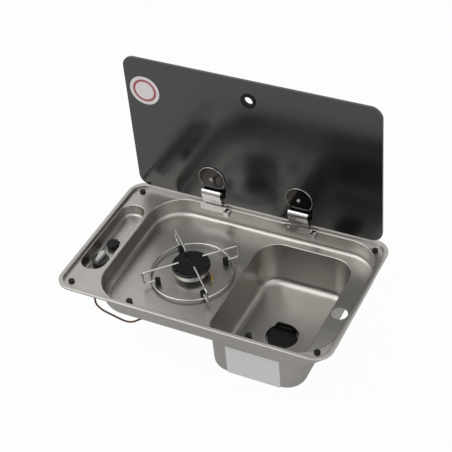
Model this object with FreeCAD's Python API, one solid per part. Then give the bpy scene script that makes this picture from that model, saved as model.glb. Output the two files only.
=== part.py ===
import FreeCAD, Part
import math
import os

os.makedirs("parts", exist_ok=True)
V = FreeCAD.Vector

# Hob and sink combination for a worktop cut-out. Millimetres, +X right, +Y back, +Z up.
# The origin is the centre of the rim on the worktop; the lid stands open at rest.

# Driving dimensions of the pressed tray
WIDTH = 600.0
DEPTH = 360.0
RIM_R = 38.0
RIM_H = 4.0
SHEET = 0.8
FLANGE = 10.0
STEP_DEPTH = 7.0
LEDGE = 4.0
EDGE_R = 2.5
SEAL_PROUD = 0.3
DECK_Z = RIM_H - STEP_DEPTH
INNER_X = WIDTH / 2 - FLANGE
INNER_Y = DEPTH / 2 - FLANGE
STEP_R = RIM_R - FLANGE

# Control recess, hob pan and bowl
RECESS_W = 54.0
RECESS_X0 = -INNER_X + LEDGE
RECESS_Y0 = -104.0
RECESS_Y1 = 107.0
RECESS_R = 25.0
RECESS_Z = RIM_H - 33.5
RECESS_FLOOR_R = 7.0
WEB = 11.0
PAN_X0 = RECESS_X0 + RECESS_W + WEB
PAN_X1 = INNER_X - LEDGE
PAN_Y = INNER_Y - LEDGE
PAN_R = 72.0
PAN_Z = RIM_H - 48.0
PAN_FLOOR_R = 10.0
TAP_LEDGE = 51.5
BOWL_W = 211.0
BOWL_FRONT_LEDGE = 15.0
BOWL_BACK_LEDGE = 21.0
BOWL_X1 = PAN_X1 - TAP_LEDGE
BOWL_X0 = BOWL_X1 - BOWL_W
BOWL_Y0 = -PAN_Y + BOWL_FRONT_LEDGE
BOWL_Y1 = PAN_Y - BOWL_BACK_LEDGE
BOWL_MID_X = (BOWL_X0 + BOWL_X1) / 2
BOWL_MID_Y = (BOWL_Y0 + BOWL_Y1) / 2
BOWL_R = 48.0
BOWL_Z = RIM_H - 148.0
BOWL_DRAFT_LEFT = 5.0
BOWL_DRAFT_RIGHT = 10.0
BOWL_DRAFT_BACK = 12.0
BOWL_LOW_R = 40.0
BOWL_FLOOR_R = 18.0
SEAM_BELOW_PAN = 6.0
SEAM_BELOW_EDGE = 1.0
TAP_HOLE_IN = 31.7
TAP_HOLE_Y = -3.0
TAP_HOLE_R = 16.5
TAP_HOLE = (PAN_X1 - TAP_HOLE_IN, TAP_HOLE_Y, TAP_HOLE_R)

# Share of a lead's shorter run that each rounded corner takes
ARC_SHARE = 0.45

# Clearances
FIT = 0.05
GAP = 0.3

# Burner and pan support
BURNER_FROM_BOWL = 96.5
BURNER_Y = -5.0
BURNER = (BOWL_X0 - BURNER_FROM_BOWL, BURNER_Y)
BASE_R = 34.5
BASE_H = 10.0
HEAD_R = 36.5
HEAD_TOP_R = 38.8
HEAD_H = 14.0
HEAD_BORE_R = 26.0
PORTS = 24
CAP_R = 40.5
CAP_H = 5.0
CAP_EDGE_R = 2.5
CUP_R = 30.0
CUP_H = 34.0
CUP_WALL = 6.5
CUP_FLANGE_R = 44.0
CUP_FLANGE_T = 3.0
WIRE_R = 2.3
RING_R = 86.5
WELD_BITE = 0.5
FOOT_R = 6.0
SUPPORT_TOP = RIM_H - 7.5
SUPPORT_LOW = RIM_H - 37.2
FOOT_RADIUS = 74.0
FINGER_OUT = 104.0
FINGER_TIP = 26.0
BEND = 7.0

# Controls
RECESS_MID = RECESS_X0 + RECESS_W / 2
KNOB_IN = 46.0
KNOB = (RECESS_MID, RECESS_Y0 + KNOB_IN)
KNOB_R = 18.5
KNOB_H = 7.5
KNOB_TRAVEL = 3.0
NUT_H = 2.6
POINTER_H = 8.5
TAP_NECK_R = 7.0
SPINDLE_R = 3.5
IGNITER_IN = 100.0
IGNITER = (RECESS_MID, RECESS_Y0 + IGNITER_IN)
IGNITER_NECK_R = 8.0
BEZEL_H = 1.5
BUTTON_R = 15.0
BUTTON_H = 6.0
STEM_R = 4.0
BUTTON_TRAVEL = 4.0

# Waste
DRAIN_RIGHT = 1.5
DRAIN_FORWARD = 12.0
DRAIN = (BOWL_MID_X + DRAIN_RIGHT, BOWL_MID_Y - DRAIN_FORWARD)
DRAIN_HOLE_R = 36.0
DISH_R = 43.0
PLUG_R = 31.3
SEAT_R = 23.0
WASTE_TUBE_R = 20.0

# Lid and hinges, drawn open
GLASS_W = 561.0
GLASS_H = 332.0
GLASS_T = 5.0
GLASS_R = 25.0
PIN_Y = INNER_Y + 1.2
PIN_Z = RIM_H + 3.2
PIN_R = 1.6
KNUCKLE_R = 2.8
CLOSED_UNDERSIDE = RIM_H - 2.2
CLOSED_BACK_EDGE = INNER_Y - 2.8
GLASS_Y = PIN_Y + CLOSED_UNDERSIDE - PIN_Z
GLASS_Z = PIN_Z - (CLOSED_BACK_EDGE - PIN_Y)
HINGE_X = 100.0
LEAF_W = 44.0
LEAF_T = 1.5
NECK_W = 43.0
PLATE_W = 70.0
DISC_R = 29.8
DISC_T = 3.0
DISC_Z = RIM_H + 69.0
GRIP_HOLE_Z = RIM_H + 292.0
GRIP_HOLE_R = 13.0
STICKER = (-237.0, RIM_H + 262.0, 34.0)


def save(shape, node):
    shape.exportStep("parts/" + node + ".step")


def cyl(radius, z0, z1, x, y):
    return Part.makeCylinder(radius, z1 - z0, V(x, y, z0))


def cyl_y(radius, y0, y1, x, z):
    return Part.makeCylinder(radius, y1 - y0, V(x, y0, z), V(0, 1, 0))


def cyl_x(radius, x0, x1, y, z):
    return Part.makeCylinder(radius, x1 - x0, V(x0, y, z), V(1, 0, 0))


def box(x0, x1, y0, y1, z0, z1):
    return Part.makeBox(x1 - x0, y1 - y0, z1 - z0, V(x0, y0, z0))


def outline(x0, x1, y0, y1, r, z):
    """Level rectangle with rounded corners, as a wire."""
    c = r * (1 - math.sqrt(0.5))
    edges = [
        Part.makeLine(V(x0 + r, y0, z), V(x1 - r, y0, z)),
        Part.Arc(V(x1 - r, y0, z), V(x1 - c, y0 + c, z), V(x1, y0 + r, z)).toShape(),
        Part.makeLine(V(x1, y0 + r, z), V(x1, y1 - r, z)),
        Part.Arc(V(x1, y1 - r, z), V(x1 - c, y1 - c, z), V(x1 - r, y1, z)).toShape(),
        Part.makeLine(V(x1 - r, y1, z), V(x0 + r, y1, z)),
        Part.Arc(V(x0 + r, y1, z), V(x0 + c, y1 - c, z), V(x0, y1 - r, z)).toShape(),
        Part.makeLine(V(x0, y1 - r, z), V(x0, y0 + r, z)),
        Part.Arc(V(x0, y0 + r, z), V(x0 + c, y0 + c, z), V(x0 + r, y0, z)).toShape(),
    ]
    return Part.Wire(edges)


def rounded(x0, x1, y0, y1, r, z0, z1):
    """Upright prism on a rectangle with rounded corners."""
    return Part.Face(outline(x0, x1, y0, y1, r, z0)).extrude(V(0, 0, z1 - z0))


def revolve(points, x, y):
    """Solid of revolution from (radius, height) points about the upright axis at x, y."""
    pts = [V(r, 0, z) for r, z in points]
    face = Part.Face(Part.makePolygon(pts + [pts[0]]))
    solid = face.revolve(V(0, 0, 0), V(0, 0, 1), 360)
    solid.translate(V(x, y, 0))
    return solid


def rod(points, bend, radius):
    """Round bar along a polyline whose inner corners are tangent arcs, as wide as the runs allow if bend is 0."""
    pts = [V(*p) for p in points]
    edges = []
    start = pts[0]
    for i in range(1, len(pts) - 1):
        a = (pts[i - 1] - pts[i]).normalize()
        b = (pts[i + 1] - pts[i]).normalize()
        half = a.getAngle(b) / 2
        arc_r = bend
        if bend == 0:
            shorter = min(pts[i].distanceToPoint(pts[i - 1]), pts[i].distanceToPoint(pts[i + 1]))
            arc_r = ARC_SHARE * shorter * math.tan(half)
        reach = arc_r / math.tan(half)
        p = pts[i] + a * reach
        q = pts[i] + b * reach
        mid_dir = (a + b).normalize()
        m = pts[i] + mid_dir * (arc_r / math.sin(half) - arc_r)
        edges.append(Part.makeLine(start, p))
        edges.append(Part.Arc(p, m, q).toShape())
        start = q
    edges.append(Part.makeLine(start, pts[-1]))
    direction = pts[1] - pts[0]
    profile = Part.Wire([Part.makeCircle(radius, pts[0], direction)])
    return Part.Wire(edges).makePipeShell([profile], True, False)


def on_loop(p, rect):
    """Whether a point lies on the outline of a rounded rectangle."""
    x0, x1, y0, y1, r = rect
    qx = abs(p.x - (x0 + x1) / 2) - ((x1 - x0) / 2 - r)
    qy = abs(p.y - (y0 + y1) / 2) - ((y1 - y0) / 2 - r)
    d = math.hypot(max(qx, 0), max(qy, 0)) + min(max(qx, qy), 0) - r
    return abs(d) < 1e-3


def grown(rect, d):
    x0, x1, y0, y1, r = rect
    return (x0 - d, x1 + d, y0 - d, y1 + d, r + d)


RIM = (-WIDTH / 2, WIDTH / 2, -DEPTH / 2, DEPTH / 2, RIM_R)
STEP = (-INNER_X, INNER_X, -INNER_Y, INNER_Y, STEP_R)
RECESS = (RECESS_X0, RECESS_X0 + RECESS_W, RECESS_Y0, RECESS_Y1, RECESS_R)
PAN = (PAN_X0, PAN_X1, -PAN_Y, PAN_Y, PAN_R)
BOWL = (BOWL_X0, BOWL_X1, BOWL_Y0, BOWL_Y1, BOWL_R)
BOWL_LOW = (BOWL_X0 + BOWL_DRAFT_LEFT, BOWL_X1 - BOWL_DRAFT_RIGHT, BOWL_Y0, BOWL_Y1 - BOWL_DRAFT_BACK, BOWL_LOW_R)


def pocket(rect, floor, top, radius):
    """Pressed hollow with a rounded floor edge."""
    solid = rounded(*rect, floor, top)
    low = [e for e in solid.Edges if abs(e.BoundBox.ZMax - floor) < 1e-6]
    return solid.makeFillet(radius, low)


def drawn_bowl(d):
    """Bowl hollow with drafted walls, from its floor to just above the pan floor, moved out by d."""
    rise = 1.0
    low = grown(BOWL_LOW, d)
    mouth = grown(BOWL, d)
    over = [m + (m - n) * rise / (PAN_Z - BOWL_Z) for m, n in zip(mouth, low)]
    solid = Part.makeLoft([outline(*low, BOWL_Z - d), outline(*over, PAN_Z - d + rise)], True, True)
    edges = [e for e in solid.Edges if abs(e.BoundBox.ZMax - BOWL_Z + d) < 1e-6]
    return solid.makeFillet(BOWL_FLOOR_R + d, edges)


def pressing(d):
    """Everything below the top face of the sheet, moved into the material by d."""
    deep = BOWL_Z - 60.0
    solid = rounded(*grown(RIM, -d), deep, RIM_H - d)
    solid = solid.cut(rounded(*grown(STEP, d), DECK_Z - d, RIM_H + 1))
    solid = solid.cut(pocket(grown(RECESS, d), RECESS_Z - d, DECK_Z + 1, RECESS_FLOOR_R + d))
    solid = solid.cut(pocket(grown(PAN, d), PAN_Z - d, DECK_Z + 1, PAN_FLOOR_R + d))
    solid = solid.cut(drawn_bowl(d))
    loops = [
        (RIM_H - d, grown(RIM, -d)),
        (RIM_H - d, grown(STEP, d)),
        (DECK_Z - d, grown(RECESS, d)),
        (DECK_Z - d, grown(PAN, d)),
        (PAN_Z - d, grown(BOWL, d)),
    ]
    edges = []
    for e in solid.Edges:
        box_e = e.BoundBox
        mid = e.valueAt((e.FirstParameter + e.LastParameter) / 2)
        for z, rect in loops:
            if abs(box_e.ZMax - z) < 1e-4 and abs(box_e.ZMin - z) < 1e-4 and on_loop(mid, rect):
                edges.append(e)
                break
    return solid.makeFillet(EDGE_R - d, edges)


# Pressed tray: deck with the recess, hob pan and bowl, welded at two seams below the rounded edges
sheet = pressing(0.0).cut(pressing(SHEET))
below = rounded(-WIDTH, WIDTH, -DEPTH, DEPTH, RIM_R, BOWL_Z - 80, SEAL_PROUD)
below = below.cut(rounded(*grown(STEP, SHEET + 1.5), BOWL_Z - 90, RIM_H))
sheet = sheet.cut(below)
tx, ty, tr = TAP_HOLE
bx, by = BURNER
kx, ky = KNOB
gx, gy = IGNITER
dx, dy = DRAIN
SCREW_PCD = 31.0
SCREW_R = 2.0
SCREW_HEAD_R = 4.0
HEAD_ANGLES = (30, 150, 270)
PROBE_ANGLE = 0.0
PROBE_RADIUS = 46.0
SPARK_ANGLE = 119.0
SPARK_RADIUS = 46.0
PROBE_R = 2.6
INSULATOR_R = 3.0


def around(cx, cy, radius, angle):
    a = math.radians(angle)
    return (cx + radius * math.cos(a), cy + radius * math.sin(a))


SCREWS = [around(bx, by, SCREW_PCD, a) for a in HEAD_ANGLES]
PROBE = around(bx, by, PROBE_RADIUS, PROBE_ANGLE)
SPARK = around(bx, by, SPARK_RADIUS, SPARK_ANGLE)
holes = [
    cyl(tr, PAN_Z - 5, PAN_Z + 5, tx, ty),
    cyl(HEAD_BORE_R, PAN_Z - 5, PAN_Z + 5, bx, by),
    cyl(PROBE_R + GAP, PAN_Z - 5, PAN_Z + 5, *PROBE),
    cyl(INSULATOR_R + GAP, PAN_Z - 5, PAN_Z + 5, *SPARK),
    cyl(TAP_NECK_R + GAP, RECESS_Z - 5, RECESS_Z + 5, kx, ky),
    cyl(IGNITER_NECK_R + GAP, RECESS_Z - 5, RECESS_Z + 5, gx, gy),
    cyl(DRAIN_HOLE_R, BOWL_Z - 5, BOWL_Z + 5, dx, dy),
]
for sx, sy in SCREWS:
    holes.append(cyl(SCREW_R + FIT, PAN_Z - 5, PAN_Z + 5, sx, sy))
RIVET_R = 2.0
RIVET_Z = DECK_Z - 9.0
RIVET_OUT = PLATE_W / 2 - 6.0
RIVETS = [(s * HINGE_X + o, RIVET_Z) for s in (-1, 1) for o in (-RIVET_OUT, RIVET_OUT)]
for rx, rz in RIVETS:
    holes.append(cyl_y(RIVET_R + FIT, PAN_Y - 3, PAN_Y + 3, rx, rz))
for h in holes:
    sheet = sheet.cut(h)
seam = PAN_Z - SEAM_BELOW_PAN
lower = box(-WIDTH, WIDTH, -DEPTH, DEPTH, BOWL_Z - 80, seam)
upper = sheet.cut(lower)
well = rounded(*grown(PAN, SHEET + 1.0), seam - 1, DECK_Z - EDGE_R - SEAM_BELOW_EDGE)
save(upper.cut(well), "deck_pressing")
save(upper.common(well), "hob_pan")
save(sheet.common(lower), "sink_bowl")

# Rubber seal in the hollow of the rim, standing a little below the lip
SEAL_W = 6.5
seal = rounded(*grown(RIM, -SHEET - 0.2), 0, RIM_H - SHEET - EDGE_R + SHEET - 0.2)
seal = seal.cut(rounded(*grown(RIM, -SHEET - 0.2 - SEAL_W), -1, RIM_H))
tongue = rounded(*grown(RIM, -EDGE_R - 0.3), 0, RIM_H - SHEET)
tongue = tongue.cut(rounded(*grown(RIM, -SHEET - 0.2 - SEAL_W), -1, RIM_H))
save(seal.fuse(tongue).removeSplitter(), "rim_seal")

# Rubber buffers under the closed lid: four on the corner platforms, two on the front wall
BUMPER_R = 6.5
BUMPER_TOP = CLOSED_UNDERSIDE - 0.8
BUMPER_INSET_X = 20.0
BUMPER_INSET_Y = 17.5
CORNER_X = INNER_X - BUMPER_INSET_X
CORNER_Y = INNER_Y - BUMPER_INSET_Y
FRONT_X = 131.0
BUMPER_SINK = 12.0
bumpers = []
for sx in (-1, 1):
    for sy in (-1, 1):
        b = cyl(BUMPER_R, DECK_Z, BUMPER_TOP, sx * CORNER_X, sy * CORNER_Y)
        bumpers.append(b.makeFillet(1.0, [e for e in b.Edges if abs(e.BoundBox.ZMin - BUMPER_TOP) < 1e-6]))
    f = cyl(BUMPER_R, DECK_Z - BUMPER_SINK, BUMPER_TOP, sx * FRONT_X, -PAN_Y + BUMPER_R - 1.0)
    f = f.makeFillet(1.0, [e for e in f.Edges if abs(e.BoundBox.ZMin - BUMPER_TOP) < 1e-6])
    f = f.cut(box(-WIDTH, WIDTH, -DEPTH, -PAN_Y, DECK_Z - 60, RIM_H + 20))
    bumpers.append(f)
save(Part.makeCompound(bumpers), "lid_bumpers")

# Burner: cup under the pan, base ring, ported ring, enamelled cap, screws, injector
cup_top = PAN_Z - SHEET
head_z = PAN_Z + BASE_H
cap_z = head_z + HEAD_H
JET_R = 7.0
NOTCH_R = 8.0
cup = cyl(CUP_FLANGE_R, cup_top - CUP_FLANGE_T, cup_top, bx, by)
cup = cup.fuse(cyl(CUP_R, cup_top - CUP_H, cup_top, bx, by))
cup = cup.cut(cyl(CUP_R - CUP_WALL, cup_top - CUP_H + 4, cup_top + 1, bx, by))
cup = cup.cut(cyl(JET_R + FIT, cup_top - CUP_H - 1, cup_top, bx, by))
for hole in (PROBE, SPARK):
    cup = cup.cut(cyl(NOTCH_R, cup_top - CUP_H - 1, cup_top + 1, *hole))
base = cyl(BASE_R, PAN_Z, head_z, bx, by).cut(cyl(HEAD_BORE_R, PAN_Z - 1, head_z + 1, bx, by))
head = Part.makeCone(HEAD_R, HEAD_TOP_R, HEAD_H, V(bx, by, head_z))
head = head.cut(cyl(HEAD_BORE_R, head_z - 1, cap_z + 1, bx, by))
for i in range(PORTS):
    slot = box(HEAD_BORE_R - 2, HEAD_TOP_R + 2, -0.9, 0.9, cap_z - 3, cap_z + 1)
    slot.rotate(V(0, 0, 0), V(0, 0, 1), 360.0 / PORTS * (i + 0.5))
    slot.translate(V(bx, by, 0))
    head = head.cut(slot)
screws = []
for sx, sy in SCREWS:
    base = base.cut(cyl(SCREW_R + FIT, PAN_Z - 1, head_z + 1, sx, sy))
    head = head.cut(cyl(SCREW_R + FIT, head_z - 1, cap_z - 5, sx, sy))
    cup = cup.cut(cyl(SCREW_R + FIT, cup_top - CUP_H - 1, cup_top + 1, sx, sy))
    cup = cup.cut(cyl(SCREW_HEAD_R + GAP, cup_top - CUP_H - 1, cup_top - CUP_FLANGE_T, sx, sy))
    s = cyl(SCREW_R, cup_top - CUP_FLANGE_T - 1, cap_z - 6, sx, sy)
    s = s.fuse(cyl(SCREW_HEAD_R, cup_top - CUP_FLANGE_T - 2.6, cup_top - CUP_FLANGE_T, sx, sy))
    screws.append(s.removeSplitter())
save(cup, "burner_cup")
save(base, "burner_base")
save(head, "burner_head")
save(Part.makeCompound(screws), "burner_screws")
cap = cyl(CAP_R, cap_z, cap_z + CAP_H, bx, by)
cap = cap.makeFillet(CAP_EDGE_R, [e for e in cap.Edges if abs(e.BoundBox.ZMin - cap_z - CAP_H) < 1e-6])
cap = cap.fuse(cyl(HEAD_BORE_R - 0.4, cap_z - 2, cap_z, bx, by)).removeSplitter()
save(cap, "burner_cap")
jet_z = cup_top - CUP_H
jet = cyl(JET_R, jet_z - 2, jet_z + 8, bx, by).fuse(cyl(10.0, jet_z - 16, jet_z - 0.0, bx, by))
jet = jet.cut(cyl(1.0, jet_z - 9, jet_z + 9, bx, by)).removeSplitter()
FEED_Z = jet_z - 9.0
jet = jet.fuse(cyl_x(6.0, bx - 20, bx - 5, by, FEED_Z))
FEED_R = 4.5
jet = jet.cut(cyl_x(FEED_R + FIT, bx - 21, bx - 12, by, FEED_Z))
save(jet.removeSplitter(), "gas_injector")

# Flame probe on the right of the burner and spark pin behind it
PROBE_DEEP = 14.0
TIP_R = 1.3
PIN_WIRE_R = 1.0
probe = cyl(PROBE_R, PAN_Z - PROBE_DEEP, PAN_Z + 2, *PROBE)
probe = probe.fuse(cyl(TIP_R, PAN_Z + 1, cap_z, *PROBE)).fuse(cyl(PROBE_R + 0.9, PAN_Z, PAN_Z + 1.5, *PROBE))
save(probe.removeSplitter(), "thermocouple_probe")
spark = cyl(INSULATOR_R, PAN_Z - 22, PAN_Z + 10, *SPARK)
spark = spark.fuse(cyl(INSULATOR_R + 2, PAN_Z, PAN_Z + 2.5, *SPARK))
spark = spark.cut(cyl(PIN_WIRE_R + FIT, PAN_Z - 23, PAN_Z + 30, *SPARK))
save(spark.removeSplitter(), "spark_insulator")
save(cyl(PIN_WIRE_R, PAN_Z - 26, PAN_Z + 15, *SPARK), "spark_pin")

# Wire pan support: four bent fingers welded on a ring, with rubber feet
ring_z = SUPPORT_LOW - 2 * WIRE_R + WELD_BITE
support = Part.makeTorus(RING_R, WIRE_R, V(bx, by, ring_z))
feet = []
for a in (45, 135, 225, 315):
    path = []
    for radius, z in ((FOOT_RADIUS, SUPPORT_LOW), (FINGER_OUT, SUPPORT_LOW),
                      (FINGER_OUT, SUPPORT_TOP), (FINGER_TIP, SUPPORT_TOP)):
        fx, fy = around(bx, by, radius, a)
        path.append((fx, fy, z))
    support = support.fuse(rod(path, BEND, WIRE_R))
    fx, fy = around(bx, by, FOOT_RADIUS, a)
    ox, oy = around(bx, by, FINGER_OUT, a)
    foot = cyl(FOOT_R, PAN_Z, SUPPORT_LOW + WIRE_R + 1.0, fx, fy)
    hole = rod([(fx, fy, SUPPORT_LOW), (ox, oy, SUPPORT_LOW)], BEND, WIRE_R + FIT)
    foot = foot.cut(hole).cut(Part.makeSphere(WIRE_R + FIT, V(fx, fy, SUPPORT_LOW)))
    feet.append(foot.cut(Part.makeTorus(RING_R, WIRE_R + GAP, V(bx, by, ring_z))))
save(support.removeSplitter(), "pan_support")
save(Part.makeCompound(feet), "pan_support_feet")

# Gas tap under the recess with its nut, push spindle and knob
under = RECESS_Z - SHEET
TAP_R = 14.0
TAP_DEEP = 48.0
BORE_DEEP = 42.0
SPINDLE_DEEP = 37.0
SPINDLE_IN = 5.0
PIPE_FIT_R = 6.5
PIPE_FIT_L = 24.0
PIPE_IN = 10.0
LEAD_R = 2.0
LEAD_FIT_R = 4.0
LEAD_FIT_L = 20.0
LEAD_Z = under - 30.0
tap = cyl(TAP_R, under - TAP_DEEP, under, kx, ky)
tap = tap.fuse(cyl(TAP_NECK_R, under - 1, RECESS_Z + NUT_H, kx, ky))
tap = tap.fuse(box(kx - 9, kx + 9, ky - 9, ky + 9, FEED_Z - 9, under - TAP_DEEP + 8))
tap = tap.fuse(cyl_x(PIPE_FIT_R, kx, kx + PIPE_FIT_L, ky, FEED_Z))
tap = tap.fuse(cyl_y(PIPE_FIT_R, ky, ky + PIPE_FIT_L, kx, FEED_Z))
tap = tap.fuse(cyl_y(LEAD_FIT_R, ky - LEAD_FIT_L, ky - 8, kx, LEAD_Z))
tap = tap.cut(cyl_x(FEED_R + FIT, kx + PIPE_FIT_L - PIPE_IN, kx + PIPE_FIT_L + 5, ky, FEED_Z))
tap = tap.cut(cyl_y(FEED_R + FIT, ky + PIPE_FIT_L - PIPE_IN, ky + PIPE_FIT_L + 5, kx, FEED_Z))
tap = tap.cut(cyl_y(LEAD_R + FIT, ky - LEAD_FIT_L - 1, ky - LEAD_FIT_L + 5, kx, LEAD_Z))
tap = tap.cut(cyl(SPINDLE_R + FIT, under - BORE_DEEP, RECESS_Z + NUT_H + 5, kx, ky))
save(tap.removeSplitter(), "gas_tap_body")
nut = cyl(11.5, RECESS_Z, RECESS_Z + NUT_H, kx, ky)
save(nut.cut(cyl(TAP_NECK_R + FIT, RECESS_Z - 1, RECESS_Z + NUT_H + 1, kx, ky)), "tap_nut")
KNOB_Z = RECESS_Z + NUT_H + KNOB_TRAVEL + 0.4
save(cyl(SPINDLE_R, under - SPINDLE_DEEP, KNOB_Z + SPINDLE_IN, kx, ky), "tap_spindle")
knob = cyl(KNOB_R, KNOB_Z, KNOB_Z + KNOB_H, kx, ky)
knob = knob.makeFillet(2.0, [e for e in knob.Edges if abs(e.BoundBox.ZMin - KNOB_Z - KNOB_H) < 1e-6])
knob = knob.cut(cyl(SPINDLE_R + FIT, KNOB_Z - 1, KNOB_Z + SPINDLE_IN + FIT, kx, ky))
save(knob, "control_knob")
grip_z = KNOB_Z + KNOB_H
GRIP_WIDE = 6.5
GRIP_NARROW = 3.8
grip_back = KNOB_R - 1.5 - GRIP_WIDE
grip_front = KNOB_R - 3.5 - GRIP_NARROW
lean = math.asin((GRIP_NARROW - GRIP_WIDE) / (grip_back + grip_front))
nose = (GRIP_NARROW * math.cos(lean), ky - grip_front + GRIP_NARROW * math.sin(lean))
tail = (GRIP_WIDE * math.cos(lean), ky + grip_back + GRIP_WIDE * math.sin(lean))
drop = [
    Part.Arc(V(kx - nose[0], nose[1], grip_z), V(kx, ky - grip_front - GRIP_NARROW, grip_z),
             V(kx + nose[0], nose[1], grip_z)).toShape(),
    Part.makeLine(V(kx + nose[0], nose[1], grip_z), V(kx + tail[0], tail[1], grip_z)),
    Part.Arc(V(kx + tail[0], tail[1], grip_z), V(kx, ky + grip_back + GRIP_WIDE, grip_z),
             V(kx - tail[0], tail[1], grip_z)).toShape(),
    Part.makeLine(V(kx - tail[0], tail[1], grip_z), V(kx - nose[0], nose[1], grip_z)),
]
grip = Part.Face(Part.Wire(drop)).extrude(V(0, 0, POINTER_H))
grip_top = grip_z + POINTER_H
grip = grip.makeFillet(2.0, [e for e in grip.Edges if abs(e.BoundBox.ZMin - grip_top) < 1e-6])
save(grip, "knob_pointer")

# Spark igniter: bezel body, nut below the recess and scalloped push button
IGNITER_DEEP = 34.0
STEM_DEEP = 25.0
ig = cyl(12, RECESS_Z, RECESS_Z + BEZEL_H, gx, gy)
ig = ig.fuse(cyl(IGNITER_NECK_R, under - IGNITER_DEEP, RECESS_Z + 1, gx, gy))
ig = ig.cut(cyl(STEM_R + FIT, under - IGNITER_DEEP + 4, RECESS_Z + 5, gx, gy)).removeSplitter()
save(ig, "igniter_body")
ig_nut = cyl(12.5, under - 4, under, gx, gy)
save(ig_nut.cut(cyl(IGNITER_NECK_R + FIT, under - 6, under + 1, gx, gy)), "igniter_nut")
BUTTON_Z = RECESS_Z + BEZEL_H + BUTTON_TRAVEL + 0.5
button_top = BUTTON_Z + BUTTON_H
SCALLOP_R = 2.6
button = cyl(BUTTON_R, BUTTON_Z, button_top, gx, gy)
button = button.makeFillet(1.5, [e for e in button.Edges if abs(e.BoundBox.ZMin - button_top) < 1e-6])
for i in range(12):
    nx, ny = around(gx, gy, BUTTON_R + 1.2, 30.0 * i)
    button = button.cut(cyl(SCALLOP_R, BUTTON_Z - 1, button_top + 1, nx, ny))
button = button.fuse(cyl(STEM_R, under - STEM_DEEP, BUTTON_Z + 1, gx, gy)).removeSplitter()
save(button, "igniter_button")

# Gas pipes below the tray; the inlet ends in a plain spigot at the back
ELBOW_RIGHT = 12.0
pipe_x = kx + PIPE_FIT_L - PIPE_IN + 0.5
elbow_x = (pipe_x + bx - 12.5) / 2 + ELBOW_RIGHT
feed = rod([(pipe_x, ky, FEED_Z), (elbow_x, ky, FEED_Z), (elbow_x, by, FEED_Z), (bx - 12.5, by, FEED_Z)],
           15.0, FEED_R)
save(feed, "gas_feed_pipe")
SPIGOT_R = 4.0
SPIGOT_L = 30.0
inlet_y0 = ky + PIPE_FIT_L - PIPE_IN + 0.5
inlet_y1 = INNER_Y - 20.0
inlet = cyl_y(FEED_R, inlet_y0, inlet_y1 - SPIGOT_L, kx, FEED_Z)
save(inlet.fuse(cyl_y(SPIGOT_R, inlet_y1 - SPIGOT_L, inlet_y1, kx, FEED_Z)), "gas_inlet_pipe")

# Probe lead from the tap, in a loose bend below the front corner, back to the probe
px, py = PROBE
lead_y = -INNER_Y + 20.0
corner_x = PAN_X0
lead_path = [
    (kx, ky - LEAD_FIT_L + 4.5, LEAD_Z),
    (kx, ky - LEAD_FIT_L - 20, LEAD_Z),
    (corner_x - 1, lead_y, PAN_Z + 11),
    (corner_x - 1, lead_y, PAN_Z - 9),
    (corner_x + 13, lead_y, PAN_Z - 21),
    (corner_x + 42, lead_y, PAN_Z - 28.5),
    (corner_x + 62, lead_y, PAN_Z - 34),
    (corner_x + 80, lead_y, PAN_Z - 31.5),
    (corner_x + 104, lead_y + 8, PAN_Z - 18),
    (px, py - 40, PAN_Z - 34),
    (px, py, PAN_Z - 34),
    (px, py, PAN_Z - PROBE_DEEP),
]
save(rod(lead_path, 0, LEAD_R), "thermocouple_lead")

# Waste fitting and plug
LIP_H = 1.3
SEAT_DEEP = 5.0
WASHER_T = 1.6
TAIL_WALL = 2.5
TAIL_L = 28.0
lip_z = BOWL_Z + LIP_H
seat_z = BOWL_Z - SEAT_DEEP
throat = DRAIN_HOLE_R - 0.4
flange = revolve([(DISH_R, BOWL_Z), (DISH_R - 0.5, lip_z - 0.4), (throat - 0.6, lip_z), (throat - 2.4, seat_z),
                  (SEAT_R, seat_z), (SEAT_R, seat_z - 2), (throat, seat_z - 2), (throat, BOWL_Z)], dx, dy)
save(flange, "waste_flange")
out_z = BOWL_Z - SHEET
washer_in = DRAIN_HOLE_R + 0.5
seal_ring = cyl(DISH_R, out_z - WASHER_T, out_z, dx, dy)
save(seal_ring.cut(cyl(washer_in, out_z - 3, out_z + 1, dx, dy)), "waste_seal")
wb_top = out_z - WASHER_T
body_r = DRAIN_HOLE_R + 3
tail_top = seat_z - 14
tail_in = WASTE_TUBE_R - TAIL_WALL
waste = revolve([(washer_in, wb_top), (DISH_R, wb_top), (DISH_R, wb_top - 3), (body_r, wb_top - 5),
                 (body_r, seat_z - 6), (WASTE_TUBE_R, tail_top), (WASTE_TUBE_R, tail_top - TAIL_L),
                 (tail_in, tail_top - TAIL_L), (tail_in, seat_z - 12), (SEAT_R, seat_z - 2.2),
                 (washer_in, seat_z - 2.2)], dx, dy)
save(waste, "waste_body")
plug = revolve([(0, seat_z + 0.1), (PLUG_R - 1, seat_z + 0.1), (PLUG_R, seat_z + 1.5), (PLUG_R, seat_z + 5),
                (PLUG_R - 3, seat_z + 6.5), (0, seat_z + 8)], dx, dy)
TAB_W = 46.0
TAB_T = 3.0
TAB_TOP = seat_z + 25.0
TAB_BACK = 18.0
TAB_R = 13.0
SLOT_W = 33.0
SLOT_H = 6.0
tab_y = dy + TAB_BACK
tab = box(dx - TAB_W / 2, dx + TAB_W / 2, tab_y - TAB_T / 2, tab_y + TAB_T / 2, seat_z + 5, TAB_TOP)
tab = tab.makeFillet(TAB_R, [e for e in tab.Edges if abs(e.BoundBox.ZMin - TAB_TOP) < 1e-6
                             and e.BoundBox.YLength > TAB_T / 2])
slot_top = TAB_TOP - 7.0
slot = box(dx - SLOT_W / 2, dx + SLOT_W / 2, tab_y - TAB_T, tab_y + TAB_T, slot_top - SLOT_H, slot_top)
plug = plug.fuse(tab.cut(slot)).removeSplitter()
save(plug, "sink_plug")

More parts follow.
